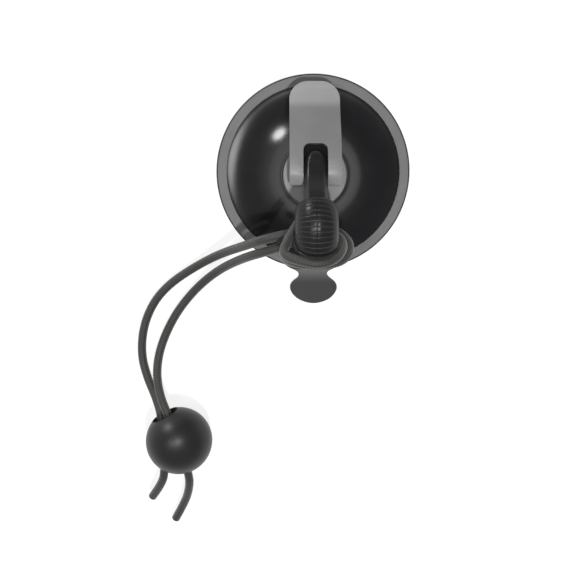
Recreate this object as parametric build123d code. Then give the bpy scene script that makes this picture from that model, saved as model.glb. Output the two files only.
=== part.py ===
from build123d import *
from math import cos, pi, radians, sin, tan
import os

# A lever-lock suction anchor: a rubber cup under a flared housing, a cam lever, a ribbed
# hook, and a bungee cord hitched round the hook with a ball toggle on its two strands.
# Origin: the middle of the sealing face. +Z away from the surface, +Y towards the lever tip.

# Suction cup and housing
CUP_R = 43.0  # outer radius of the rubber disc
SEAL_INNER_R = 33.0  # inner radius of the flat sealing ring
FLANGE_T = 2.0
CAVITY_RISE = 1.6  # height of the drawn-up underside at the axis
CUP_BOSS_R = 13.0
CUP_BOSS_TOP = 6.6
TAB_NECK_W = 12.6
TAB_LOBE = (21.4, 18.0)  # full width and length of the release tab's round lobe
TAB_LOBE_Y = -49.7
TAB_LIFT_DEG = 6.0
HOUSING_R = 38.3
HOUSING_LIP = 1.0  # upright edge at the foot of the housing
BOSS_R = 13.9
BOSS_TOP = 19.6
BOSS_BORE_R = 6.0
WALL = 2.6

# Cam plate, stem and spring
CAM_PLATE_R = 13.3
CAM_PLATE_TOP = 22.0
STEM_R = 3.0
STEM_TOP = 31.0
STEM_GAP = 0.05
ANCHOR_R = 10.0
ANCHOR_Z = (3.2, 5.2)
SPRING_R = 5.2
SPRING_WIRE = 1.1
WASHER_R = 8.0
WASHER_T = 1.0
SCREW_PCD_R = 10.2
TRAVEL = 1.4  # how far the stem drops when the lever is lifted

# Lever and its pin
PIN_Z = 27.6
PIN_R = 1.5
PIN_GAP = 0.05
LEVER_SWING_DEG = 85.0
LEVER_W = 21.3
CAM_LOW = 5.5  # pin axis to the bottom of the cam when locked
BARREL_R = 4.7
SLOT_W = 10.1
SLOT_END_Y = 13.1
SLOT_CORNER = 2.6
LEVER_TIP_Y = 39.1
TIP_CORNER = 8.0

# Hook arm, ribbed grip and the neck below it
ARM_W = 9.8
ARM_T = 7.0
ARM_ANGLE = 46.0
ARM_LENGTH = 20.5
HUB_R = 3.8
TONGUE_END_Y = 10.3
TONGUE_TIP_W = 4.5
BED_END_Y = 12.5
BED_Z = (23.9, 25.0)
ARCH_R = 9.8  # bend radius of the grip's centre line
GRIP_R = 8.7
GROOVE_R = 8.3
CORE_R = 4.4
RIBS = 11
RIB_SHARE = 0.66
COLLAR_R = 9.3
COLLAR_DEG = 6.0
PARTING_GAP = 0.02
ARCH_END = -34.0
NECK_BEND_R = 5.0  # bend of the core from the collar down towards the surface
NECK_LOW = 31.0  # height of the neck's lower end
RETAINER_R = 5.6
RETAINER_T = 2.0

# Cord and ball toggle
CORD_D = 4.0
CORD_R = CORD_D / 2
BALL_R = 15.0
BALL_AT = Vector(-60.5, -119.9, BALL_R)
MOUTH_DIR = Vector(-0.454, 0.891, 0)
MOUTH_R = 6.5
LINER_DEPTH = 5.0
STRAND_GAP = 0.7  # radial room round each strand in the ball

HITCH = [
    (-16.0, -24.6, 34.0), (-11.2, -23.5, 34.0), (-6.4, -23.2, 33.2), (0.8, -20.9, 31.4),
    (8.2, -22.8, 34.1), (11.4, -27.4, 40.9), (8.0, -31.8, 47.9), (0.5, -33.9, 50.6),
    (-7.2, -32.4, 48.4), (-12.2, -31.2, 45.8), (-13.2, -29.0, 43.4), (-11.8, -26.2, 41.0),
    (-10.0, -22.8, 38.6), (-7.2, -19.8, 36.4), (-6.4, -18.4, 32.2), (-8.4, -21.6, 27.2),
    (-11.2, -26.4, 26.6), (-13.0, -31.2, 27.8), (-12.8, -34.0, 33.0), (-8.8, -34.6, 40.4),
    (0.5, -35.0, 45.7), (11.2, -33.6, 42.4), (14.6, -28.3, 36.0), (10.6, -23.3, 29.6),
    (2.0, -21.4, 27.0), (-3.6, -22.6, 27.0), (-7.4, -25.6, 30.0), (-11.0, -27.8, 33.9),
    (-16.0, -29.6, 32.4),
]
STRAND_A = [
    (-16.0, -24.6, 34.0), (-20.8, -25.7, 34.0), (-26.4, -28.1, 28.6), (-32.2, -30.9, 20.6),
    (-38.8, -33.9, 13.0), (-46.6, -38.0, 6.8), (-55.5, -43.4, 3.2), (-64.2, -49.4, 2.1),
    (-71.2, -56.6, 2.05), (-76.0, -65.6, 2.2), (-78.4, -75.4, 2.1), (-78.4, -85.0, 3.0),
    (-75.6, -93.6, 5.6), (-71.6, -101.0, 9.4), (-68.4, -109.4, 12.8), (-67.4, -135.2, 13.8),
    (-69.9, -143.2, 11.0), (-74.8, -150.9, 6.6),
]
STRAND_B = [
    (-16.0, -29.6, 32.4), (-21.0, -31.4, 30.9), (-26.8, -33.6, 26.2), (-32.6, -36.6, 19.2),
    (-39.6, -40.8, 11.8), (-47.2, -46.6, 6.0), (-54.6, -53.8, 2.8), (-61.6, -62.6, 2.05),
    (-67.0, -72.4, 2.1), (-70.6, -82.4, 3.2), (-71.2, -91.8, 7.8), (-68.8, -100.2, 13.0),
    (-64.6, -108.6, 16.6), (-56.2, -136.2, 14.8), (-56.9, -145.2, 11.0), (-59.9, -154.6, 5.6),
    (-64.8, -164.2, 2.4),
]


def arch_frame():
    """Centre of the grip's bend, in the plane x = 0."""
    a = radians(ARM_ANGLE)
    start = Vector(0, -ARM_LENGTH * cos(a), PIN_Z + ARM_LENGTH * sin(a))
    return start - Vector(0, sin(a), cos(a)) * ARCH_R


ARCH_C = arch_frame()


def arch_plane(angle):
    """Plane across the grip at an angle of the arch; z points along the spine to the tip."""
    a = radians(angle)
    out = Vector(0, sin(a), cos(a))
    along = Vector(0, -cos(a), sin(a))
    return Plane(origin=ARCH_C + out * ARCH_R, x_dir=(1, 0, 0), z_dir=along)


def ring_piece(radius, start, end):
    """Piece of the bent round bar between two angles of the arch."""
    disc = arch_plane(start) * Circle(radius)
    return revolve(disc, Axis(ARCH_C, (1, 0, 0)), start - end)


def rod(radius, start, end):
    """Round bar between two points."""
    start, end = Vector(*start), Vector(*end)
    along = end - start
    disc = Plane(origin=start, z_dir=along) * Circle(radius)
    return extrude(disc, along.length)


def turned(points):
    """Solid of revolution about Z from a closed (radius, z) outline."""
    outline = Polyline(*[(r, 0, z) for r, z in points], close=True)
    return revolve(make_face(outline), Axis.Z)


def suction_disc():
    disc = turned([(0, CAVITY_RISE), (20, 0.9), (SEAL_INNER_R, 0), (CUP_R - 0.4, 0), (CUP_R, 0.5),
                   (CUP_R, FLANGE_T - 0.6), (CUP_R - 0.6, FLANGE_T), (34, FLANGE_T), (20, FLANGE_T + 0.6),
                   (CUP_BOSS_R + 2, 3.4), (CUP_BOSS_R, 5.4), (CUP_BOSS_R - 1, CUP_BOSS_TOP),
                   (0, CUP_BOSS_TOP)])
    pocket = Pos(0, 0, ANCHOR_Z[0]) * extrude(Circle(ANCHOR_R), ANCHOR_Z[1] - ANCHOR_Z[0])
    stem_hole = Pos(0, 0, ANCHOR_Z[0]) * extrude(Circle(STEM_R + 1.0), CUP_BOSS_TOP)
    return disc + release_tab() - pocket - stem_hole


def release_tab():
    """Pull tab: a neck and a round lobe that lifts off the surface."""
    neck = Pos(0, -CUP_R, 0) * Rectangle(TAB_NECK_W, 12)
    lobe = Pos(0.5, TAB_LOBE_Y, 0) * Ellipse(TAB_LOBE[0] / 2, TAB_LOBE[1] / 2)
    plate = extrude(neck + lobe, FLANGE_T - 0.1)
    hinge = Axis((0, -CUP_R + 2, 0), (1, 0, 0))
    lifted = plate.rotate(hinge, -TAB_LIFT_DEG)
    return lifted - Pos(0, 0, -10) * Box(200, 200, 20)


def housing():
    """Flared bell with a flat boss, hollow from below."""
    foot = FLANGE_T
    line = [
        Line((36.0, 0, foot), (HOUSING_R, 0, foot)),
        Line((HOUSING_R, 0, foot), (HOUSING_R, 0, foot + HOUSING_LIP)),
        ThreePointArc((HOUSING_R, 0, foot + HOUSING_LIP), (23.0, 0, 8.4), (BOSS_R, 0, BOSS_TOP - 0.8)),
        Line((BOSS_R, 0, BOSS_TOP - 0.8), (BOSS_R - 0.8, 0, BOSS_TOP)),
        Line((BOSS_R - 0.8, 0, BOSS_TOP), (BOSS_BORE_R, 0, BOSS_TOP)),
        Line((BOSS_BORE_R, 0, BOSS_TOP), (BOSS_BORE_R, 0, BOSS_TOP - WALL)),
        Line((BOSS_BORE_R, 0, BOSS_TOP - WALL), (BOSS_R - 1.4, 0, BOSS_TOP - WALL)),
        ThreePointArc((BOSS_R - 1.4, 0, BOSS_TOP - WALL), (21.4, 0, 6.6), (36.0, 0, foot)),
    ]
    body = revolve(make_face(Wire(line)), Axis.Z)
    return body - screw_holes(BOSS_TOP - WALL, WALL, 1.3)


def screw_holes(bottom, height, radius):
    holes = PolarLocations(SCREW_PCD_R, 3, start_angle=30) * Cylinder(
        radius, height, align=(Align.CENTER, Align.CENTER, Align.MIN))
    return Compound(children=[Pos(0, 0, bottom) * hole for hole in holes])


def cam_plate():
    plate = Pos(0, 0, BOSS_TOP) * extrude(Circle(CAM_PLATE_R), CAM_PLATE_TOP - BOSS_TOP)
    plate = chamfer(plate.edges().group_by(Axis.Z)[-1], 0.4)
    bore = Pos(0, 0, BOSS_TOP - 1) * extrude(Circle(STEM_R + 0.6), 6)
    return plate - bore - screw_holes(BOSS_TOP, 1.6, 1.0)


def cam_plate_screws():
    bottom = BOSS_TOP - WALL
    one = turned([(0, bottom - 1.2), (1.8, bottom - 1.2), (1.8, bottom), (1.0, bottom),
                  (1.0, BOSS_TOP + 1.5), (0, BOSS_TOP + 1.5)])
    return Compound(children=[place * one for place in PolarLocations(SCREW_PCD_R, 3, start_angle=30)])


def stem_bush():
    low = BOSS_TOP - WALL
    bore = STEM_R + STEM_GAP
    return turned([(bore, low - 1.0), (WASHER_R, low - 1.0), (WASHER_R, low), (BOSS_BORE_R, low),
                   (BOSS_BORE_R, BOSS_TOP), (bore, BOSS_TOP)])


def anchor_plate():
    return turned([(STEM_R, ANCHOR_Z[0]), (ANCHOR_R, ANCHOR_Z[0]), (ANCHOR_R, ANCHOR_Z[1]),
                   (STEM_R, ANCHOR_Z[1])])


def draw_stem():
    stem = Pos(0, 0, ANCHOR_Z[0]) * extrude(Circle(STEM_R), STEM_TOP - ANCHOR_Z[0])
    stem = chamfer(stem.edges().group_by(Axis.Z)[-1], 0.5)
    return stem - rod(PIN_R, (-20, 0, PIN_Z), (20, 0, PIN_Z))


def spring_washer():
    low = CUP_BOSS_TOP + 0.1
    return turned([(STEM_R, low), (WASHER_R, low), (WASHER_R, low + WASHER_T), (STEM_R, low + WASHER_T)])


def return_spring():
    low = CUP_BOSS_TOP + 0.1 + WASHER_T + SPRING_WIRE / 2
    high = BOSS_TOP - WALL - 1.0 - SPRING_WIRE / 2
    path = Helix(pitch=(high - low) / 3.5, height=high - low, radius=SPRING_R)
    section = Plane(origin=path @ 0, z_dir=path % 0) * Circle(SPRING_WIRE / 2)
    return Pos(0, 0, low) * sweep(section, path=path, is_frenet=True)


def cam_point(theta):
    """Cam outline where it meets the plate when the lever has turned by theta radians."""
    drop = TRAVEL / radians(LEVER_SWING_DEG)
    support = CAM_LOW - drop * theta
    face = -pi / 2 - theta
    y = support * cos(face) - drop * sin(face)
    z = support * sin(face) + drop * cos(face)
    return (0, y, PIN_Z + z)


def lever_side():
    """Side outline of the lever: cam, barrel and the thin blade down to its tip."""
    swing = radians(LEVER_SWING_DEG)
    low, back = cam_point(0), cam_point(swing)
    crown = (0, 1.6, PIN_Z + 4.5)
    under = (0, 6.2, 22.9)
    line = [
        Spline(*[cam_point(swing * i / 6) for i in range(7)]),
        ThreePointArc(back, (0, -2.6, PIN_Z + 3.4), crown),
        Spline(crown, (0, 13.5, 27.2), (0, 25.0, 18.4), (0, 33.5, 13.0), (0, LEVER_TIP_Y, 11.2)),
        Line((0, LEVER_TIP_Y, 11.2), (0, LEVER_TIP_Y - 0.4, 8.4)),
        Spline((0, LEVER_TIP_Y - 0.4, 8.4), (0, 32.0, 10.2), (0, 23.5, 15.6), (0, 13.5, 22.9), under),
        Line(under, low),
    ]
    return make_face(Wire(line))


def lever():
    side = lever_side()
    body = extrude(side, LEVER_W / 2, dir=(1, 0, 0), both=True)
    slot = Pos(0, (SLOT_END_Y - 20) / 2, 0) * RectangleRounded(SLOT_W, SLOT_END_Y + 20, SLOT_CORNER)
    plan = Pos(0, (LEVER_TIP_Y - 20) / 2, 0) * RectangleRounded(LEVER_W + 0.2, LEVER_TIP_Y + 20, TIP_CORNER)
    body = body & extrude(plan, 50)
    body = body - extrude(slot, 50)
    return body - rod(PIN_R + PIN_GAP, (-20, 0, PIN_Z), (20, 0, PIN_Z))


def lever_pin():
    half = LEVER_W / 2 - 0.2
    return chamfer(rod(PIN_R, (-half, 0, PIN_Z), (half, 0, PIN_Z)).edges(), 0.2)


def hook_arm():
    """Hub on the pin, tongue in the lever's slot, arm up to the grip, and the grip's core."""
    hub = rod(HUB_R, (-ARM_W / 2, 0, PIN_Z), (ARM_W / 2, 0, PIN_Z))
    a = radians(ARM_ANGLE)
    tilt = Plane(origin=(0, 0, PIN_Z), x_dir=(1, 0, 0), z_dir=(0, -cos(a), sin(a)))
    bar = extrude(tilt * RectangleRounded(ARM_W, ARM_T, 1.6), ARM_LENGTH - 2.6)
    core = extrude(tilt * Circle(CORE_R), ARM_LENGTH)
    core += ring_piece(CORE_R, ARM_ANGLE, ARCH_END)
    body = hub + tongue() + bar + core + neck()
    body -= extrude(Circle(STEM_R), STEM_TOP)
    body -= rod(PIN_R, (-20, 0, PIN_Z), (20, 0, PIN_Z))
    return body - grip_screw_shapes() - retainer_screw()


def neck_bend_centre():
    a = radians(ARCH_END)
    return arch_plane(ARCH_END).origin - Vector(0, sin(a), cos(a)) * NECK_BEND_R


def neck():
    """Core below the collar, turning down towards the surface."""
    centre = neck_bend_centre()
    bend = revolve(arch_plane(ARCH_END) * Circle(CORE_R), Axis(centre, (1, 0, 0)), ARCH_END + 90)
    foot = centre - Vector(0, NECK_BEND_R, 0)
    return bend + rod(CORE_R, foot, Vector(0, foot.Y, NECK_LOW))


def tongue():
    """Bullet-shaped root of the arm on a thin bed that fills the lever's slot."""
    half, tip = ARM_W / 2, TONGUE_TIP_W / 2
    outline = Wire([
        Line((-half, 0), (half, 0)),
        Line((half, 0), (half, 2)),
        ThreePointArc((half, 2), (half - 0.9, 6.6), (tip, TONGUE_END_Y)),
        Line((tip, TONGUE_END_Y), (-tip, TONGUE_END_Y)),
        ThreePointArc((-tip, TONGUE_END_Y), (-half + 0.9, 6.6), (-half, 2)),
        Line((-half, 2), (-half, 0)),
    ])
    block = Pos(0, 0, 20) * extrude(make_face(outline), 20)
    top = Polyline((0, -1, 31.2), (0, 4, 31.0), (0, 8.5, 29.6), (0, 11, 28.0), (0, 11, 24.0),
                   (0, 0, 23.9), (0, -1, 23.9), close=True)
    length = BED_END_Y + 2
    bed = Pos(0, BED_END_Y - length / 2, BED_Z[0]) * extrude(
        RectangleRounded(ARM_W - 0.2, length, 2.4), BED_Z[1] - BED_Z[0])
    return bed + (block & extrude(make_face(top), 10, dir=(1, 0, 0), both=True))


def grip():
    """Ribbed outer of the hook, still in one piece."""
    start = arch_plane(ARM_ANGLE)
    along = start.z_dir
    shoulder = Plane(origin=start.origin - along * 2.6, x_dir=(1, 0, 0), z_dir=along)
    body = loft([shoulder * Circle(6.4), start * Circle(GROOVE_R)])
    step = (ARM_ANGLE - ARCH_END - COLLAR_DEG) / RIBS
    for i in range(RIBS):
        top = ARM_ANGLE - i * step
        body += ring_piece(GRIP_R, top, top - step * RIB_SHARE)
        body += ring_piece(GROOVE_R, top - step * RIB_SHARE, top - step)
    body += ring_piece(COLLAR_R, ARCH_END + COLLAR_DEG, ARCH_END)
    gap = 0.1
    body -= ring_piece(CORE_R + gap, ARM_ANGLE, ARCH_END)
    body -= extrude(shoulder * Circle(CORE_R + gap), 2.6)
    return body


def grip_halves():
    half = grip() & Pos(-50 - PARTING_GAP, 0, 0) * Box(100, 200, 200)
    screws = grip_screw_shapes()
    return half - screws, mirror(half, about=Plane.YZ) - screws


def grip_screw_shapes():
    """Two cross screws that clamp the grip halves on the core."""
    screws = []
    for angle in (28.0, -18.0):
        at = arch_plane(angle).origin
        low, high = Vector(-6.6, at.Y, at.Z), Vector(6.6, at.Y, at.Z)
        screws.append(rod(1.2, low, high))
        screws.append(rod(2.1, low, low + Vector(1.6, 0, 0)))
    return Compound(children=screws)


def grip_screws():
    shapes = grip_screw_shapes().children
    return Compound(children=[shapes[0] + shapes[1], shapes[2] + shapes[3]])


def cord_retainer():
    """Flange at the neck's lower end, which keeps the cord on the neck."""
    at = neck_bend_centre() - Vector(0, NECK_BEND_R, 0)
    disc = Pos(0, at.Y, NECK_LOW - RETAINER_T) * extrude(Circle(RETAINER_R), RETAINER_T)
    disc = fillet(disc.edges(), 0.9)
    return disc - retainer_screw()


def retainer_screw():
    low = NECK_LOW - RETAINER_T
    axis_y = neck_bend_centre().Y - NECK_BEND_R
    head = Pos(0, axis_y, low) * extrude(Circle(2.8), 1.2)
    return head + Pos(0, axis_y, low) * extrude(Circle(1.5), 8)


def cord_hitch():
    """Strand A in, a turn round the neck, the bight over and under both strands, a turn, strand B out."""
    return tube(HITCH, "hitch")


def corner_radii(points):
    radii = []
    for a, b, c in zip(points, points[1:], points[2:]):
        turn = radians((b - a).get_angle(c - b))
        radii.append(0.45 * min((b - a).length, (c - b).length) / tan(turn / 2))
    return radii


def tube(route, name):
    """Round cord along straight runs joined by tangent arcs."""
    points = [Vector(*p) for p in route]
    radii = corner_radii(points)
    path = FilletPolyline(*points, radius=radii)
    section = Plane(origin=path @ 0, z_dir=path % 0) * Circle(CORD_R)
    solid = sweep(section, path=path)
    print(name, "radii", [round(r, 1) for r in radii], "length", round(path.length, 1),
          "volume ratio", round(solid.volume / (pi * CORD_R ** 2 * path.length), 3))
    return solid


def strand_lines():
    """The straight stretch of each strand inside the ball."""
    pairs = []
    for route in (STRAND_A, STRAND_B):
        points = [Vector(*p) for p in route]
        longest = max(range(len(points) - 1), key=lambda i: (points[i + 1] - points[i]).length)
        pairs.append((points[longest], points[longest + 1]))
    return pairs


def strand_bores():
    bores = None
    for start, end in strand_lines():
        along = (end - start).normalized()
        bore = rod(CORD_R + STRAND_GAP, start - along * 6, end + along * 6)
        bores = bore if bores is None else bores + bore
    return bores


def mouth_plane(depth):
    return Plane(origin=BALL_AT + MOUTH_DIR * (BALL_R - depth), z_dir=-1 * MOUTH_DIR)


def toggle_liner():
    """Soft sleeve in the ball's mouth."""
    sleeve = extrude(mouth_plane(1.4) * Circle(MOUTH_R), LINER_DEPTH)
    funnel = loft([mouth_plane(1.0) * Circle(MOUTH_R - 0.4), mouth_plane(1.8 + LINER_DEPTH) * Circle(5.3)])
    return sleeve - funnel - strand_bores()


def ball_toggle():
    ball = Pos(*BALL_AT) * Sphere(BALL_R)
    flat = Pos(BALL_AT.X, BALL_AT.Y, -1) * Cylinder(20, 2.04)
    socket = extrude(mouth_plane(-1) * Circle(MOUTH_R), LINER_DEPTH + 2.4)
    return ball - flat - socket - strand_bores()


def main():
    os.makedirs("parts", exist_ok=True)
    left, right = grip_halves()
    parts = {
        "suction_disc": suction_disc(), "anchor_plate": anchor_plate(), "draw_stem": draw_stem(),
        "spring_washer": spring_washer(), "return_spring": return_spring(), "housing": housing(),
        "stem_bush": stem_bush(), "cam_plate": cam_plate(), "cam_plate_screws": cam_plate_screws(),
        "lever": lever(), "lever_pin": lever_pin(), "hook_arm": hook_arm(),
        "grip_half_left": left, "grip_half_right": right, "grip_screws": grip_screws(),
        "cord_retainer": cord_retainer(), "retainer_screw": retainer_screw(),
        "cord_hitch": cord_hitch(), "cord_strand_a": tube(STRAND_A, "strand a"),
        "cord_strand_b": tube(STRAND_B, "strand b"), "ball_toggle": ball_toggle(),
        "toggle_liner": toggle_liner(),
    }
    for name, part in parts.items():
        export_step(Compound(part.solids()), f"parts/{name}.step")


main()
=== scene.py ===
from math import cos, exp, pi, radians, sin

import bmesh
import bpy
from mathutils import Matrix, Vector


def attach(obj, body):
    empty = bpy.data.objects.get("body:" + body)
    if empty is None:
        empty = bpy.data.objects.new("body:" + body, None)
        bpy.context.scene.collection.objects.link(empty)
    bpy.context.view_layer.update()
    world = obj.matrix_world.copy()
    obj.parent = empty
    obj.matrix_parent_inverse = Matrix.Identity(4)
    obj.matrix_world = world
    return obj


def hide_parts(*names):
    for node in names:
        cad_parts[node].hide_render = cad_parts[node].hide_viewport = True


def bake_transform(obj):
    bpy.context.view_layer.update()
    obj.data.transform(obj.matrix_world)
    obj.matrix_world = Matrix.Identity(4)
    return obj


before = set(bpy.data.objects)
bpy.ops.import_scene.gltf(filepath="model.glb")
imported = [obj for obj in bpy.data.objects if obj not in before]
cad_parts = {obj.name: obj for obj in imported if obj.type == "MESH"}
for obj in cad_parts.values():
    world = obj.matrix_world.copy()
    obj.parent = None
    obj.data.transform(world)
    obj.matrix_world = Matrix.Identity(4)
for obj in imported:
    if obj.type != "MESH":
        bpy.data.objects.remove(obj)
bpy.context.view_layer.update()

MM = 0.001

# ---------------------------------------------------------------- dimensions, in millimetres
FLANGE_T = 2.0
HOUSING_R = 38.3
BOSS_R = 13.9
BOSS_TOP = 19.6
WALL = 2.6
PIN_Z = 27.6
ARM_ANGLE = 46.0
ARM_LENGTH = 20.5
ARCH_R = 9.8
ARCH_END = -34.0
GRIP_R = 8.7
RIBS = 11
COLLAR_R = 9.3
COLLAR_DEG = 6.0
NECK_BEND_R = 5.0
NECK_LOW = 31.0
CORE_R = 4.4
TAB_TILT = radians(6)
CORD_D = 4.0
CORD_R = CORD_D / 2

HITCH = [
    (-16.0, -24.6, 34.0), (-11.2, -23.5, 34.0), (-6.4, -23.2, 33.2), (0.8, -20.9, 31.4),
    (8.2, -22.8, 34.1), (11.4, -27.4, 40.9), (8.0, -31.8, 47.9), (0.5, -33.9, 50.6),
    (-7.2, -32.4, 48.4), (-12.2, -31.2, 45.8), (-13.2, -29.0, 43.4), (-11.8, -26.2, 41.0),
    (-10.0, -22.8, 38.6), (-7.2, -19.8, 36.4), (-6.4, -18.4, 32.2), (-8.4, -21.6, 27.2),
    (-11.2, -26.4, 26.6), (-13.0, -31.2, 27.8), (-12.8, -34.0, 33.0), (-8.8, -34.6, 40.4),
    (0.5, -35.0, 45.7), (11.2, -33.6, 42.4), (14.6, -28.3, 36.0), (10.6, -23.3, 29.6),
    (2.0, -21.4, 27.0), (-3.6, -22.6, 27.0), (-7.4, -25.6, 30.0), (-11.0, -27.8, 33.9),
    (-16.0, -29.6, 32.4),
]
STRAND_A = [
    (-16.0, -24.6, 34.0), (-20.8, -25.7, 34.0), (-26.4, -28.1, 28.6), (-32.2, -30.9, 20.6),
    (-38.8, -33.9, 13.0), (-46.6, -38.0, 6.8), (-55.5, -43.4, 3.2), (-64.2, -49.4, 2.1),
    (-71.2, -56.6, 2.05), (-76.0, -65.6, 2.2), (-78.4, -75.4, 2.1), (-78.4, -85.0, 3.0),
    (-75.6, -93.6, 5.6), (-71.6, -101.0, 9.4), (-68.4, -109.4, 12.8), (-67.4, -135.2, 13.8),
    (-69.9, -143.2, 11.0), (-74.8, -150.9, 6.6),
]
STRAND_B = [
    (-16.0, -29.6, 32.4), (-21.0, -31.4, 30.9), (-26.8, -33.6, 26.2), (-32.6, -36.6, 19.2),
    (-39.6, -40.8, 11.8), (-47.2, -46.6, 6.0), (-54.6, -53.8, 2.8), (-61.6, -62.6, 2.05),
    (-67.0, -72.4, 2.1), (-70.6, -82.4, 3.2), (-71.2, -91.8, 7.8), (-68.8, -100.2, 13.0),
    (-64.6, -108.6, 16.6), (-56.2, -136.2, 14.8), (-56.9, -145.2, 11.0), (-59.9, -154.6, 5.6),
    (-64.8, -164.2, 2.4),
]


# ---------------------------------------------------------------- camera, lights and floor
def add_camera():
    """From above, leaning ten degrees towards the lever tip."""
    lean = radians(10)
    target, distance = Vector((-13.57, -49.7, 0)) * MM, 0.3593
    data = bpy.data.cameras.new("camera")
    data.lens = 50.0
    data.sensor_width = 36.0
    data.clip_start = 0.01
    camera = bpy.data.objects.new("camera", data)
    camera.location = target + Vector((0, sin(lean), cos(lean))) * distance
    camera.rotation_euler = (-lean, 0, 0)
    bpy.context.scene.collection.objects.link(camera)
    bpy.context.scene.camera = camera


def add_light(name, at, size, power, glossy=True, diffuse=True):
    data = bpy.data.lights.new(name, "AREA")
    data.shape = "DISK"
    data.size = size
    data.energy = power
    light = bpy.data.objects.new(name, data)
    light.location = at
    aim = Vector((0, -0.03, 0.01)) - Vector(at)
    light.rotation_mode = "QUATERNION"
    light.rotation_quaternion = aim.to_track_quat("-Z", "Y")
    light.visible_glossy = glossy
    light.visible_diffuse = diffuse
    bpy.context.scene.collection.objects.link(light)


def add_stage():
    mesh = bpy.data.meshes.new("floor")
    side = 3.0
    corners = [(-side, -side, -0.0004), (side, -side, -0.0004), (side, side, -0.0004), (-side, side, -0.0004)]
    mesh.from_pydata(corners, [], [(0, 1, 2, 3)])
    floor = bpy.data.objects.new("floor", mesh)
    bpy.context.scene.collection.objects.link(floor)
    material = bpy.data.materials.new("floor")
    material.use_nodes = True
    shader = material.node_tree.nodes["Principled BSDF"]
    shader.inputs["Base Color"].default_value = (0.16, 0.16, 0.16, 1)
    shader.inputs["Roughness"].default_value = 0.9
    shader.inputs["Specular IOR Level"].default_value = 0.1
    shader.inputs["Emission Color"].default_value = (1, 1, 1, 1)
    shader.inputs["Emission Strength"].default_value = 0.86
    mesh.materials.append(material)


def add_world():
    """A studio that is dim overhead and paler near the horizon, most of all on the left."""
    world = bpy.data.worlds.new("studio")
    world.use_nodes = True
    tree = world.node_tree
    background = tree.nodes["Background"]
    background.inputs["Color"].default_value = (1, 1, 1, 1)
    place = tree.nodes.new("ShaderNodeTexCoord")
    split = tree.nodes.new("ShaderNodeSeparateXYZ")
    tree.links.new(place.outputs["Generated"], split.inputs["Vector"])
    tones = []
    for axis, limits in (("Z", (0.0, 0.5, 0.7, 0.22)), ("X", (-1.0, 1.0, 1.15, 0.35))):
        tone = tree.nodes.new("ShaderNodeMapRange")
        for socket, value in zip(("From Min", "From Max", "To Min", "To Max"), limits):
            tone.inputs[socket].default_value = value
        tree.links.new(split.outputs[axis], tone.inputs["Value"])
        tones.append(tone)
    product = tree.nodes.new("ShaderNodeMath")
    product.operation = "MULTIPLY"
    for i, tone in enumerate(tones):
        tree.links.new(tone.outputs["Result"], product.inputs[i])
    tree.links.new(product.outputs["Value"], background.inputs["Strength"])
    bpy.context.scene.world = world
    bpy.context.scene.view_settings.view_transform = "Standard"


add_camera()
add_world()
add_stage()
add_light("key", (0.1, -0.22, 0.95), 0.06, 9.0, glossy=False)
add_light("glint", (-0.55, 0.63, 0.26), 0.24, 3.4, diffuse=False)
add_light("top", (-0.26, 0.03, 0.8), 0.25, 1.6)
add_light("sheen", (0.0, 0.11, 0.78), 0.16, 2.8, diffuse=False)


# ---------------------------------------------------------------- meshes
def link(name, mesh):
    obj = bpy.data.objects.new(name, mesh)
    bpy.context.scene.collection.objects.link(obj)
    return obj


def from_rings(name, rings, uvs=None):
    """Closed skin over rings of equal point counts; the ends are capped."""
    count = len(rings[0])
    verts = [tuple(p) for ring in rings for p in ring]
    faces = []
    for i in range(len(rings) - 1):
        for j in range(count):
            k = (j + 1) % count
            faces.append((i * count + j, i * count + k, (i + 1) * count + k, (i + 1) * count + j))
    faces.append(tuple(reversed(range(count))))
    last = (len(rings) - 1) * count
    faces.append(tuple(last + j for j in range(count)))
    mesh = bpy.data.meshes.new(name)
    mesh.from_pydata(verts, [], faces)
    if uvs:
        layer = mesh.uv_layers.new(name="along")
        for face in mesh.polygons:
            for loop in face.loop_indices:
                i, j = divmod(mesh.loops[loop].vertex_index, count)
                wrap = 1 if j == 0 and face.index % count == count - 1 else 0
                layer.data[loop].uv = (wrap + j / count, uvs[i])
    fix_normals(mesh)
    return link(name, mesh)


def fix_normals(mesh):
    """Faces outwards, smooth except across edges sharper than 40 degrees."""
    bm = bmesh.new()
    bm.from_mesh(mesh)
    bmesh.ops.recalc_face_normals(bm, faces=bm.faces)
    for edge in bm.edges:
        edge.smooth = len(edge.link_faces) == 2 and edge.calc_face_angle(0) < radians(40)
    for face in bm.faces:
        face.smooth = True
    bm.to_mesh(mesh)
    bm.free()


def lathe(name, outline, steps):
    """Solid of revolution about Z from a closed (radius, z) outline in millimetres."""
    rings = []
    for i in range(steps):
        a = 2 * pi * i / steps
        rings.append([Vector((r * cos(a), r * sin(a), z)) * MM for r, z in outline])
    count = len(outline)
    verts = [tuple(p) for ring in rings for p in ring]
    faces = []
    for i in range(steps):
        n = (i + 1) % steps
        for j in range(count):
            k = (j + 1) % count
            faces.append((i * count + j, n * count + j, n * count + k, i * count + k))
    mesh = bpy.data.meshes.new(name)
    mesh.from_pydata(verts, [], faces)
    bm = bmesh.new()
    bm.from_mesh(mesh)
    bmesh.ops.remove_doubles(bm, verts=bm.verts, dist=1e-6)
    bmesh.ops.dissolve_degenerate(bm, dist=1e-7, edges=bm.edges)
    bm.to_mesh(mesh)
    bm.free()
    fix_normals(mesh)
    return link(name, mesh)


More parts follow.
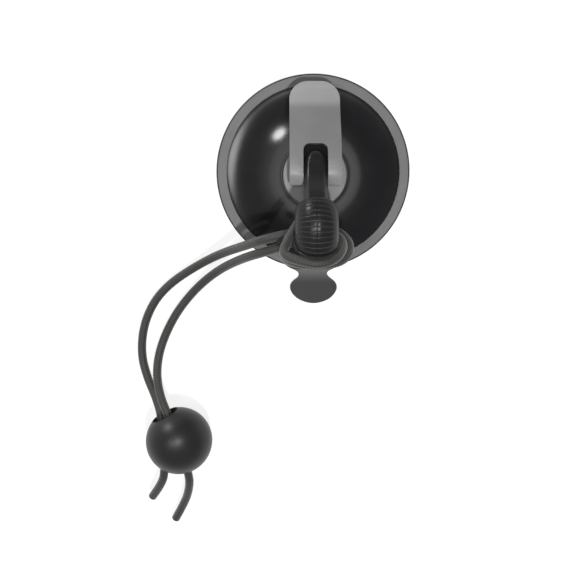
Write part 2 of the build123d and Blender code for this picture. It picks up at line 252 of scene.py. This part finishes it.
def arc_points(start, middle, end, steps):
    """Points on the circle through three points of a plane, without the last one."""
    (x1, y1), (x2, y2), (x3, y3) = start, middle, end
    d = 2 * (x1 * (y2 - y3) + x2 * (y3 - y1) + x3 * (y1 - y2))
    s1, s2, s3 = x1 * x1 + y1 * y1, x2 * x2 + y2 * y2, x3 * x3 + y3 * y3
    cx = (s1 * (y2 - y3) + s2 * (y3 - y1) + s3 * (y1 - y2)) / d
    cy = (s1 * (x3 - x2) + s2 * (x1 - x3) + s3 * (x2 - x1)) / d
    centre = Vector((cx, cy))
    one, two = Vector(start) - centre, Vector(end) - centre
    turn = one.angle_signed(two)
    out = []
    for i in range(steps):
        a = -turn * i / steps
        p = Vector((one.x * cos(a) - one.y * sin(a), one.x * sin(a) + one.y * cos(a)))
        out.append(tuple(centre + p))
    return out


# ---------------------------------------------------------------- cords
def spline_line(route):
    """Smooth line of a route: a NURBS spline with the route's points as its control points."""
    curve = bpy.data.curves.new("route", "CURVE")
    curve.dimensions = "3D"
    spline = curve.splines.new("NURBS")
    spline.points.add(len(route) - 1)
    for point, at in zip(spline.points, route):
        point.co = (at[0] * MM, at[1] * MM, at[2] * MM, 1)
    spline.order_u = 3
    spline.use_endpoint_u = True
    spline.resolution_u = 20
    obj = bpy.data.objects.new("route", curve)
    bpy.context.scene.collection.objects.link(obj)
    mesh = bpy.data.meshes.new_from_object(obj)
    line = [vertex.co.copy() for vertex in mesh.vertices]
    bpy.data.objects.remove(obj)
    bpy.data.curves.remove(curve)
    bpy.data.meshes.remove(mesh)
    return line


def even(line, step):
    """The line's points again, evenly spaced."""
    lengths = [0.0]
    for a, b in zip(line, line[1:]):
        lengths.append(lengths[-1] + (b - a).length)
    count = max(2, round(lengths[-1] / step))
    out, j = [], 0
    for i in range(count + 1):
        want = lengths[-1] * i / count
        while j < len(line) - 2 and lengths[j + 1] < want:
            j += 1
        span = lengths[j + 1] - lengths[j]
        out.append(line[j].lerp(line[j + 1], (want - lengths[j]) / span if span else 0))
    return out


def frames(line):
    """For each point of a line: the point, and two directions across it that never twist."""
    tangents = []
    for i in range(len(line)):
        tangents.append((line[min(i + 1, len(line) - 1)] - line[max(i - 1, 0)]).normalized())
    across = tangents[0].orthogonal().normalized()
    out = []
    for point, tangent in zip(line, tangents):
        across = (across - tangent * across.dot(tangent)).normalized()
        out.append((point, across, tangent.cross(across)))
    return out


CARRIERS = 6
PLAIT = 1.2  # length of one crossing of the braid, in millimetres


def braided(name, route):
    """Braided cord along a route, and the points that it follows."""
    line = even(spline_line(route), 0.3 * MM)
    around = 60
    rings, uvs = [], []
    for i, (point, one, two) in enumerate(frames(line)):
        along = i * 0.3
        ring = []
        for j in range(around):
            a = 2 * pi * j / around
            weave = cos(2 * pi * along / PLAIT) - cos(2 * CARRIERS * a)
            r = (CORD_R - 0.08 + 0.035 * weave) * MM
            ring.append(point + one * (cos(a) * r) + two * (sin(a) * r))
        rings.append(ring)
        uvs.append(along / PLAIT)
    return from_rings(name, rings, uvs), line


def free_strand(name, replaced, route):
    """Strand that hangs from the hitch, in place of the CAD strand; it stays where it is."""
    obj, line = braided(name, route)
    obj.data.materials.append(CORD)
    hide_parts(replaced)
    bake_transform(obj)


def arch(angle):
    """Spine point of the grip at an angle of its arch, with its outward and forward directions."""
    a0, a = radians(ARM_ANGLE), radians(angle)
    start = Vector((0, -ARM_LENGTH * cos(a0), PIN_Z + ARM_LENGTH * sin(a0)))
    centre = start - Vector((0, sin(a0), cos(a0))) * ARCH_R
    out = Vector((0, sin(a), cos(a)))
    return centre + out * ARCH_R, out, Vector((0, -cos(a), sin(a)))


# ---------------------------------------------------------------- materials
def principled(name, colour, roughness, **sockets):
    material = bpy.data.materials.new(name)
    material.use_nodes = True
    shader = material.node_tree.nodes["Principled BSDF"]
    shader.inputs["Base Color"].default_value = (*colour, 1)
    shader.inputs["Roughness"].default_value = roughness
    for key, value in sockets.items():
        shader.inputs[key.replace("_", " ")].default_value = value
    return material, shader


def node(material, kind, **values):
    made = material.node_tree.nodes.new(kind)
    for key, value in values.items():
        if key in made.inputs:
            made.inputs[key].default_value = value
        else:
            setattr(made, key, value)
    return made


def join(material, one, output, two, socket):
    material.node_tree.links.new(one.outputs[output], two.inputs[socket])


def moulded(name, dark, light, rough, grain_mm, bump, mottle_mm=14.0, painted_light_ramp=None, **sockets):
    """Moulded plastic or rubber: a little mottling, uneven gloss, and a fine grain.

    The gradient argument is (y, y, tone): past the second y, in millimetres, the colour is tone times as bright, as
    painted shade below one and painted light above one.
    """
    material, shader = principled(name, light, rough[1], **sockets)
    place = node(material, "ShaderNodeTexCoord")
    broad = node(material, "ShaderNodeTexNoise", Scale=1000 / mottle_mm, Detail=4.0)
    join(material, place, "Object", broad, "Vector")
    tint = node(material, "ShaderNodeValToRGB")
    tint.color_ramp.elements[0].position = 0.3
    tint.color_ramp.elements[0].color = (*dark, 1)
    tint.color_ramp.elements[1].position = 0.7
    tint.color_ramp.elements[1].color = (*light, 1)
    join(material, broad, "Fac", tint, "Fac")
    if painted_light_ramp:
        shade_along(material, place, tint, shader, painted_light_ramp)
    else:
        join(material, tint, "Color", shader, "Base Color")
    fine = node(material, "ShaderNodeTexNoise", Scale=1000 / grain_mm, Detail=3.0)
    join(material, place, "Object", fine, "Vector")
    gloss = node(material, "ShaderNodeMapRange")
    gloss.inputs["To Min"].default_value = rough[0]
    gloss.inputs["To Max"].default_value = rough[1]
    join(material, broad, "Fac", gloss, "Value")
    join(material, gloss, "Result", shader, "Roughness")
    relief = node(material, "ShaderNodeBump", Strength=bump, Distance=0.0001)
    join(material, fine, "Fac", relief, "Height")
    join(material, relief, "Normal", shader, "Normal")
    return material


def shade_along(material, place, tint, shader, painted_light_ramp):
    """Paints a gradient of brightness along Y; its numbers are given, and it is painted shade on the tab's lobe and a
    painted highlight on the lever's tip.
    """
    split = node(material, "ShaderNodeSeparateXYZ")
    join(material, place, "Object", split, "Vector")
    tone = node(material, "ShaderNodeMapRange", interpolation_type="SMOOTHSTEP")
    tone.inputs["From Min"].default_value = painted_light_ramp[0] * MM
    tone.inputs["From Max"].default_value = painted_light_ramp[1] * MM
    tone.inputs["To Min"].default_value = 1.0
    tone.inputs["To Max"].default_value = painted_light_ramp[2]
    join(material, split, "Y", tone, "Value")
    scaled = node(material, "ShaderNodeVectorMath", operation="SCALE")
    join(material, tint, "Color", scaled, "Vector")
    join(material, tone, "Result", scaled, "Scale")
    join(material, scaled, "Vector", shader, "Base Color")


def cord_material():
    """Braided sheath: yarns that cross in diamonds, with painted shade in the hollows between them."""
    material, shader = principled("cord braid", (0.06, 0.06, 0.055), 0.62)
    shader.inputs["Sheen Weight"].default_value = 0.25
    place = node(material, "ShaderNodeUVMap", uv_map="along")
    split = node(material, "ShaderNodeSeparateXYZ")
    join(material, place, "UV", split, "Vector")

    def wave(output, times):
        scaled = node(material, "ShaderNodeMath", operation="MULTIPLY")
        scaled.inputs[1].default_value = times
        join(material, split, output, scaled, 0)
        out = node(material, "ShaderNodeMath", operation="COSINE")
        join(material, scaled, "Value", out, 0)
        return out

    along, round_it = wave("Y", 2 * pi), wave("X", 4 * pi * CARRIERS)
    weave = node(material, "ShaderNodeMath", operation="SUBTRACT")
    join(material, along, "Value", weave, 0)
    join(material, round_it, "Value", weave, 1)
    # The ramp darkens the weave's hollows: painted shade.
    tint = node(material, "ShaderNodeValToRGB")
    tint.color_ramp.elements[0].color = (0.016, 0.0156, 0.0148, 1)
    tint.color_ramp.elements[1].color = (0.038, 0.037, 0.0345, 1)
    level = node(material, "ShaderNodeMapRange")
    level.inputs["From Min"].default_value = -2.0
    level.inputs["From Max"].default_value = 2.0
    join(material, weave, "Value", level, "Value")
    join(material, level, "Result", tint, "Fac")
    join(material, tint, "Color", shader, "Base Color")
    yarn = node(material, "ShaderNodeTexNoise", Scale=3000.0, Detail=2.0)
    here = node(material, "ShaderNodeTexCoord")
    join(material, here, "Object", yarn, "Vector")
    relief = node(material, "ShaderNodeBump", Strength=0.5, Distance=0.00008)
    join(material, yarn, "Fac", relief, "Height")
    join(material, relief, "Normal", shader, "Normal")
    return material


CORD = cord_material()
# From y -40.5 mm the tab's lobe darkens to a fifth past y -50 mm: painted shade.
RUBBER = moulded("cup rubber", (0.13, 0.13, 0.13), (0.15, 0.15, 0.15), (0.5, 0.62), 0.25, 0.25,
                 painted_light_ramp=(-40.5, -50.0, 0.2), Specular_IOR_Level=0.25)
# Near-black for the disc's rim and the tab's sides: painted shade.
PAINTED_RIM_SHADE = moulded("cup rim painted shade", (0.012, 0.012, 0.012), (0.018, 0.018, 0.018), (0.5, 0.62), 0.25, 0.25)
HOUSING = moulded("housing gloss", (0.008, 0.008, 0.009), (0.011, 0.011, 0.012), (0.18, 0.22), 0.4, 0.03,
                 Specular_IOR_Level=0.45)
CAM = moulded("cam plate grey", (0.165, 0.165, 0.165), (0.195, 0.195, 0.195), (0.4, 0.5), 0.2, 0.2,
             Specular_IOR_Level=0.25)
# From y 27 mm to y 31.5 mm the lever's tip brightens to 1.6 times: a painted highlight.
LEVER = moulded("lever grey", (0.17, 0.17, 0.17), (0.19, 0.19, 0.19), (0.38, 0.46), 0.2, 0.2,
                painted_light_ramp=(27.0, 31.5, 1.6))
HOOK = moulded("hook black", (0.009, 0.009, 0.010), (0.013, 0.013, 0.014), (0.26, 0.34), 0.2, 0.12,
               Specular_IOR_Level=0.35)
GRIP = moulded("grip black", (0.012, 0.012, 0.012), (0.017, 0.017, 0.017), (0.24, 0.32), 0.2, 0.06,
               Specular_IOR_Level=0.18)
# Lighter colour in the grooves between the grip's ribs: a painted highlight.
PAINTED_RIB_HIGHLIGHT = moulded("rib groove painted highlight", (0.028, 0.028, 0.028), (0.05, 0.05, 0.05), (0.42, 0.52), 0.2, 0.2,
                   Specular_IOR_Level=0.15)
# Near-black for the sheet under the lever's slot and the tongue's underside: painted shade.
SHADE = moulded("slot painted shade", (0.003, 0.003, 0.003), (0.005, 0.005, 0.005), (0.6, 0.7), 0.25, 0.2,
                Specular_IOR_Level=0.1)
BALL = moulded("ball black", (0.014, 0.014, 0.015), (0.019, 0.019, 0.020), (0.36, 0.42), 0.25, 0.2,
               Specular_IOR_Level=0.3)
LINER = moulded("liner rubber", (0.008, 0.008, 0.008), (0.014, 0.014, 0.014), (0.6, 0.7), 0.2, 0.3)
STEEL = moulded("zinc steel", (0.42, 0.42, 0.42), (0.55, 0.55, 0.55), (0.3, 0.42), 0.3, 0.1, Metallic=1.0)
ACETAL = moulded("acetal", (0.6, 0.6, 0.57), (0.7, 0.7, 0.67), (0.4, 0.5), 0.2, 0.05)


def paint(name, material):
    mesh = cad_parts[name].data
    mesh.materials.clear()
    mesh.materials.append(material)


# ---------------------------------------------------------------- pieces
def finish_piece(obj, material, slot, body, *nodes):
    obj.data.materials.clear()
    obj.data.materials.append(material)
    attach(obj, body)
    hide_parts(*nodes)


def joined(name, *pieces):
    """One piece from several shells."""
    bm = bmesh.new()
    for piece in pieces:
        bm.from_mesh(piece.data)
    mesh = bpy.data.meshes.new(name)
    bm.to_mesh(mesh)
    bm.free()
    for piece in pieces:
        bpy.data.objects.remove(piece)
    return link(name, mesh)


TAB_OUTLINE = [  # half width of the tab and of its neck, from inside the disc to its tip
    (-40.5, 13.4), (-42.4, 10.8), (-43.4, 8.6), (-44.3, 7.1), (-45.2, 6.5), (-46.2, 6.7), (-47.2, 7.6),
    (-48.3, 9.1), (-49.6, 10.2), (-51.0, 10.65), (-52.6, 10.5), (-54.2, 9.7), (-55.6, 8.5),
    (-56.8, 6.9), (-57.7, 5.0), (-58.3, 2.9), (-58.55, 1.2),
]


def smooth_through(points, steps):
    """Smooth line through points of any number of coordinates."""
    out = []
    for i in range(len(points) - 1):
        near = [points[min(max(i + d, 0), len(points) - 1)] for d in (-1, 0, 1, 2)]
        for j in range(steps):
            t = j / steps
            out.append([0.5 * (2 * p1 + (p2 - p0) * t + (2 * p0 - 5 * p1 + 4 * p2 - p3) * t * t
                               + (3 * p1 - p0 - 3 * p2 + p3) * t ** 3) for p0, p1, p2, p3 in zip(*near)])
    return out + [points[-1]]


def make_tab():
    """Release tab: a neck with hollow corners and a round lobe that curls up off the surface."""
    rings = []
    for y, half in smooth_through(TAB_OUTLINE, 5):
        into = max(0.0, -41.0 - y)
        low = sin(TAB_TILT) * into * 0.8 + 0.0016 * into * into
        thick = FLANGE_T - 0.15
        shift = 0.5 * min(1.0, max(0.0, -44.0 - y) / 3)
        ring = []
        for x in (-1, -0.75, -0.4, 0, 0.4, 0.75, 1):
            ring.append(Vector((shift + x * (half - 0.35), y, low)) * MM)
        for up in (0.2, 0.5, 0.8):
            ring.append(Vector((shift + half - (0.12 if up != 0.5 else 0), y, low + thick * up)) * MM)
        for x in (1, 0.75, 0.4, 0, -0.4, -0.75, -1):
            ring.append(Vector((shift + x * (half - 0.35), y, low + thick)) * MM)
        for up in (0.8, 0.5, 0.2):
            ring.append(Vector((shift - half + (0.12 if up != 0.5 else 0), y, low + thick * up)) * MM)
        rings.append(ring)
    return from_rings("tab", rings)


def make_suction_disc():
    under = [(0.01, 1.6), (10, 1.45), (20, 0.9), (27, 0.35), (32, 0.06), (34, 0.02)]
    rim = [(42.3, 0.02), (42.7, 0.12), (42.92, 0.36), (42.98, 0.7), (42.98, 1.3), (42.88, 1.66),
           (42.62, 1.9), (42.3, FLANGE_T)]
    top = [(40.5, 2.02), (38.6, FLANGE_T), (34, FLANGE_T), (20, 2.6), (15, 3.4), (13, 5.4),
           (12, 6.6), (0.01, 6.6)]
    disc = joined("suction_cup", lathe("disc", under + rim + top, 240), make_tab())
    finish_piece(disc, RUBBER, "cup_rubber", "base", "suction_disc")
    disc.data.materials.append(PAINTED_RIM_SHADE)
    # Faces on the disc's rim and on the tab's sides take the painted shade.
    for face in disc.data.polygons:
        middle = face.center / MM
        on_disc = middle.xy.length > 42.25
        on_tab = middle.y < -43.5 and abs(face.normal.z) < 0.6
        if (on_disc and middle.y > -43.2) or on_tab:
            face.material_index = 1


def make_housing():
    flare_out = arc_points((BOSS_R, BOSS_TOP - 0.8), (23.0, 8.4), (HOUSING_R, FLANGE_T + 1.0), 40)
    flare_in = arc_points((36.0, FLANGE_T), (21.4, 6.6), (BOSS_R - 1.4, BOSS_TOP - WALL), 24)
    foot = [(HOUSING_R - 0.02, 2.9), (HOUSING_R, 2.7), (HOUSING_R, 2.2), (HOUSING_R - 0.2, FLANGE_T)]
    top = [(6.0, BOSS_TOP), (BOSS_R - 1.5, BOSS_TOP), (BOSS_R - 1.0, BOSS_TOP - 0.06),
           (BOSS_R - 0.6, BOSS_TOP - 0.22), (BOSS_R - 0.25, BOSS_TOP - 0.46)]
    outline = top + flare_out + foot + flare_in + [(BOSS_R - 1.4, BOSS_TOP - WALL), (6.0, BOSS_TOP - WALL)]
    finish_piece(lathe("housing_shell", outline, 200), HOUSING, "housing_plastic", "base", "housing")


def grip_groove(angle):
    """Depth of the fine groove between two ribs, from 0 to 1."""
    phase = (ARM_ANGLE - angle) / (ARM_ANGLE - ARCH_END - COLLAR_DEG) * RIBS % 1.0
    return exp(-((phase - 0.5) / 0.08) ** 2)


def grip_radius(angle):
    """Radius of the grip along its arch: shallow grooves, then a deeper one and the collar."""
    into = ARM_ANGLE - angle
    ribbed = ARM_ANGLE - ARCH_END - COLLAR_DEG
    if into >= ribbed:
        t = min(1.0, (into - ribbed) / 1.0)
        return GRIP_R - 0.5 + (COLLAR_R - GRIP_R + 0.5) * t - 0.25 * max(0.0, (into - ribbed - 5.0))
    last = 0.35 * exp(-((ribbed - into) / 1.2) ** 2)
    return GRIP_R - 0.09 * grip_groove(angle) - last


def half_ring(point, out, radius, side):
    """Half of a round section, closed along the parting plane, with a rounded edge at the parting."""
    ring = []
    steps = 44
    for j in range(steps + 1):
        a = pi * j / steps
        edge = min(j, steps - j)
        dip = (0.12, 0.03, 0.0)[min(edge, 2)]
        r = radius - dip
        x = side * max(0.03, sin(a) * r)
        ring.append((point + out * (cos(a) * r) + Vector((x, 0, 0))) * MM)
    return ring


def make_grip():
    for side, name in ((-1, "grip_half_left"), (1, "grip_half_right")):
        rings = []
        start, out, forward = arch(ARM_ANGLE)
        for t in (0.0, 0.12, 0.3, 0.55, 0.8, 1.0):
            radius = 5.2 + (GRIP_R - 5.2) * (1 - (1 - t) ** 2) ** 0.5
            rings.append(half_ring(start - forward * (2.6 * (1 - t)), out, radius, side))
        steps = 300
        for i in range(1, steps + 1):
            angle = ARM_ANGLE + (ARCH_END - ARM_ANGLE) * i / steps
            point, out, forward = arch(angle)
            rings.append(half_ring(point, out, grip_radius(angle), side))
        rings.append(half_ring(point + forward * 0.02, out, CORE_R, side))
        obj = from_rings("ribbed_" + name, rings)
        finish_piece(obj, GRIP, "grip_plastic", "draw", name)
        obj.data.materials.append(PAINTED_RIB_HIGHLIGHT)
        # Faces in the grooves between ribs take the painted highlight.
        for face in obj.data.polygons:
            ring = face.index // len(rings[0]) - 5
            if 0 < ring < steps and grip_groove(ARM_ANGLE + (ARCH_END - ARM_ANGLE) * ring / steps) > 0.5:
                face.material_index = 1


def arm_section(y, z, lean, half_height, half_width):
    """Chamfered section of the hook arm; lean is the angle of its spine above the horizontal."""
    up = Vector((0, sin(radians(lean)), cos(radians(lean))))
    bevel = 0.36 * half_width
    corners = [(half_width - bevel, half_height), (half_width, half_height - bevel)]
    corners += [(x, -h) for x, h in reversed(corners)]
    corners += [(-x, h) for x, h in reversed(corners)]
    ring = []
    for (x0, h0), (x1, h1) in zip(corners, corners[1:] + corners[:1]):
        for t in (0.04, 0.35, 0.65, 0.96):
            ring.append((Vector((x0 + (x1 - x0) * t, y, z)) + up * (h0 + (h1 - h0) * t)) * MM)
    return ring


def shade_sheet_outline(half, low, high):
    """Plan of the thin sheet under the tongue that stands in for the slot's shade: square at the hub and rounded at the
    slot's end.
    """
    radius = 2.3
    line = [(half, low)]
    for i in range(9):
        a = pi / 2 * i / 8
        line.append((half - radius + radius * cos(a), high - radius + radius * sin(a)))
    return line + [(-x, y) for x, y in reversed(line)]


def make_hook_arm():
    """Tongue and arm as one smooth form, and the neck that turns down below the collar."""
    knots = [(10.3, 26.3, 0, 0.7, 0.7), (10.15, 26.35, 0, 1.4, 1.5), (9.6, 26.5, 1, 2.0, 2.3),
             (8.4, 26.8, 4, 2.6, 3.1), (6.6, 27.2, 9, 3.1, 3.9), (4.4, 27.7, 17, 3.4, 4.5),
             (1.8, 28.6, 27, 3.6, 4.8), (-0.9, 30.1, 37, 3.6, 4.9), (-3.4, 32.1, 43, 3.5, 4.9),
             (-5.8, 34.3, 46, 3.5, 4.9), (-8.6, 37.0, 46, 3.5, 4.9), (-12.9, 41.2, 46, 3.5, 4.9)]
    arm = from_rings("arm", [arm_section(*knot) for knot in smooth_through(knots, 8)])
    point, out, forward = arch(ARCH_END)
    centre = point - out * NECK_BEND_R
    rings = []
    for i in range(25):
        a = radians(ARCH_END + (-90 - ARCH_END) * i / 24)
        spine, outward = centre + Vector((0, sin(a), cos(a))) * NECK_BEND_R, Vector((0, sin(a), cos(a)))
        rings.append([(spine + outward * (cos(t) * CORE_R) + Vector((sin(t) * CORE_R, 0, 0))) * MM
                      for t in (2 * pi * j / 48 for j in range(48))])
    foot = spine
    for z in (foot.z - 1.0, NECK_LOW + 0.02):
        rings.append([Vector((sin(t) * CORE_R, foot.y - cos(t) * CORE_R, z)) * MM
                      for t in (2 * pi * j / 48 for j in range(48))])
    neck = from_rings("neck", rings)
    # A thin sheet under the tongue, put there as painted shade in the slot.
    rings = []
    for z, inset in ((23.92, 0.1), (24.0, 0), (24.75, 0), (24.9, 0.06), (24.98, 0.25)):
        outline = shade_sheet_outline(4.8 - inset, -2.0 + inset, 12.5 - inset)
        rings.append([Vector((x, y, z)) * MM for x, y in outline])
    shade_sheet = from_rings("shade_sheet", rings)
    shell = joined("hook_arm_shell", arm, neck, shade_sheet)
    finish_piece(shell, HOOK, "hook_plastic", "draw", "hook_arm")
    shell.data.materials.append(SHADE)
    # The sheet and the tongue's faces below z 25.1 mm, at y above -3 mm, take the painted shade.
    for face in shell.data.polygons:
        if face.center.y > -0.003 and face.center.z < 0.0251:
            face.material_index = 1


def rounded_copy(name, new_name, width):
    """The CAD piece again, with its sharp edges rounded."""
    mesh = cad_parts[name].data.copy()
    bm = bmesh.new()
    bm.from_mesh(mesh)
    bmesh.ops.remove_doubles(bm, verts=bm.verts, dist=1e-6)
    bmesh.ops.dissolve_limit(bm, angle_limit=radians(0.8), verts=bm.verts, edges=bm.edges)
    for face in bm.faces:
        face.smooth = True
    bm.to_mesh(mesh)
    bm.free()
    obj = link(new_name, mesh)
    bevel = obj.modifiers.new("edges", "BEVEL")
    bevel.width = width * MM
    bevel.segments = 3
    bevel.limit_method = "ANGLE"
    bevel.angle_limit = radians(38)
    bevel.harden_normals = True
    deps = bpy.context.evaluated_depsgraph_get()
    made = bpy.data.meshes.new_from_object(obj.evaluated_get(deps))
    obj.modifiers.clear()
    obj.data = made
    return obj


hitch, _ = braided("cord_hitch_braid", HITCH)
finish_piece(hitch, CORD, "cord_braid", "draw", "cord_hitch")
free_strand("cord_strand_a_braid", "cord_strand_a", STRAND_A)
free_strand("cord_strand_b_braid", "cord_strand_b", STRAND_B)
make_suction_disc()
make_housing()
make_grip()
make_hook_arm()
finish_piece(rounded_copy("lever", "cam_lever", 0.7), LEVER, "lever_plastic", "lever", "lever")

for name, material in (("cam_plate", CAM), ("cord_retainer", GRIP), ("ball_toggle", BALL),
                       ("toggle_liner", LINER), ("anchor_plate", STEEL), ("draw_stem", STEEL), ("spring_washer", STEEL),
                       ("return_spring", STEEL), ("cam_plate_screws", STEEL), ("grip_screws", STEEL),
                       ("retainer_screw", STEEL), ("lever_pin", STEEL), ("stem_bush", ACETAL)):
    paint(name, material)
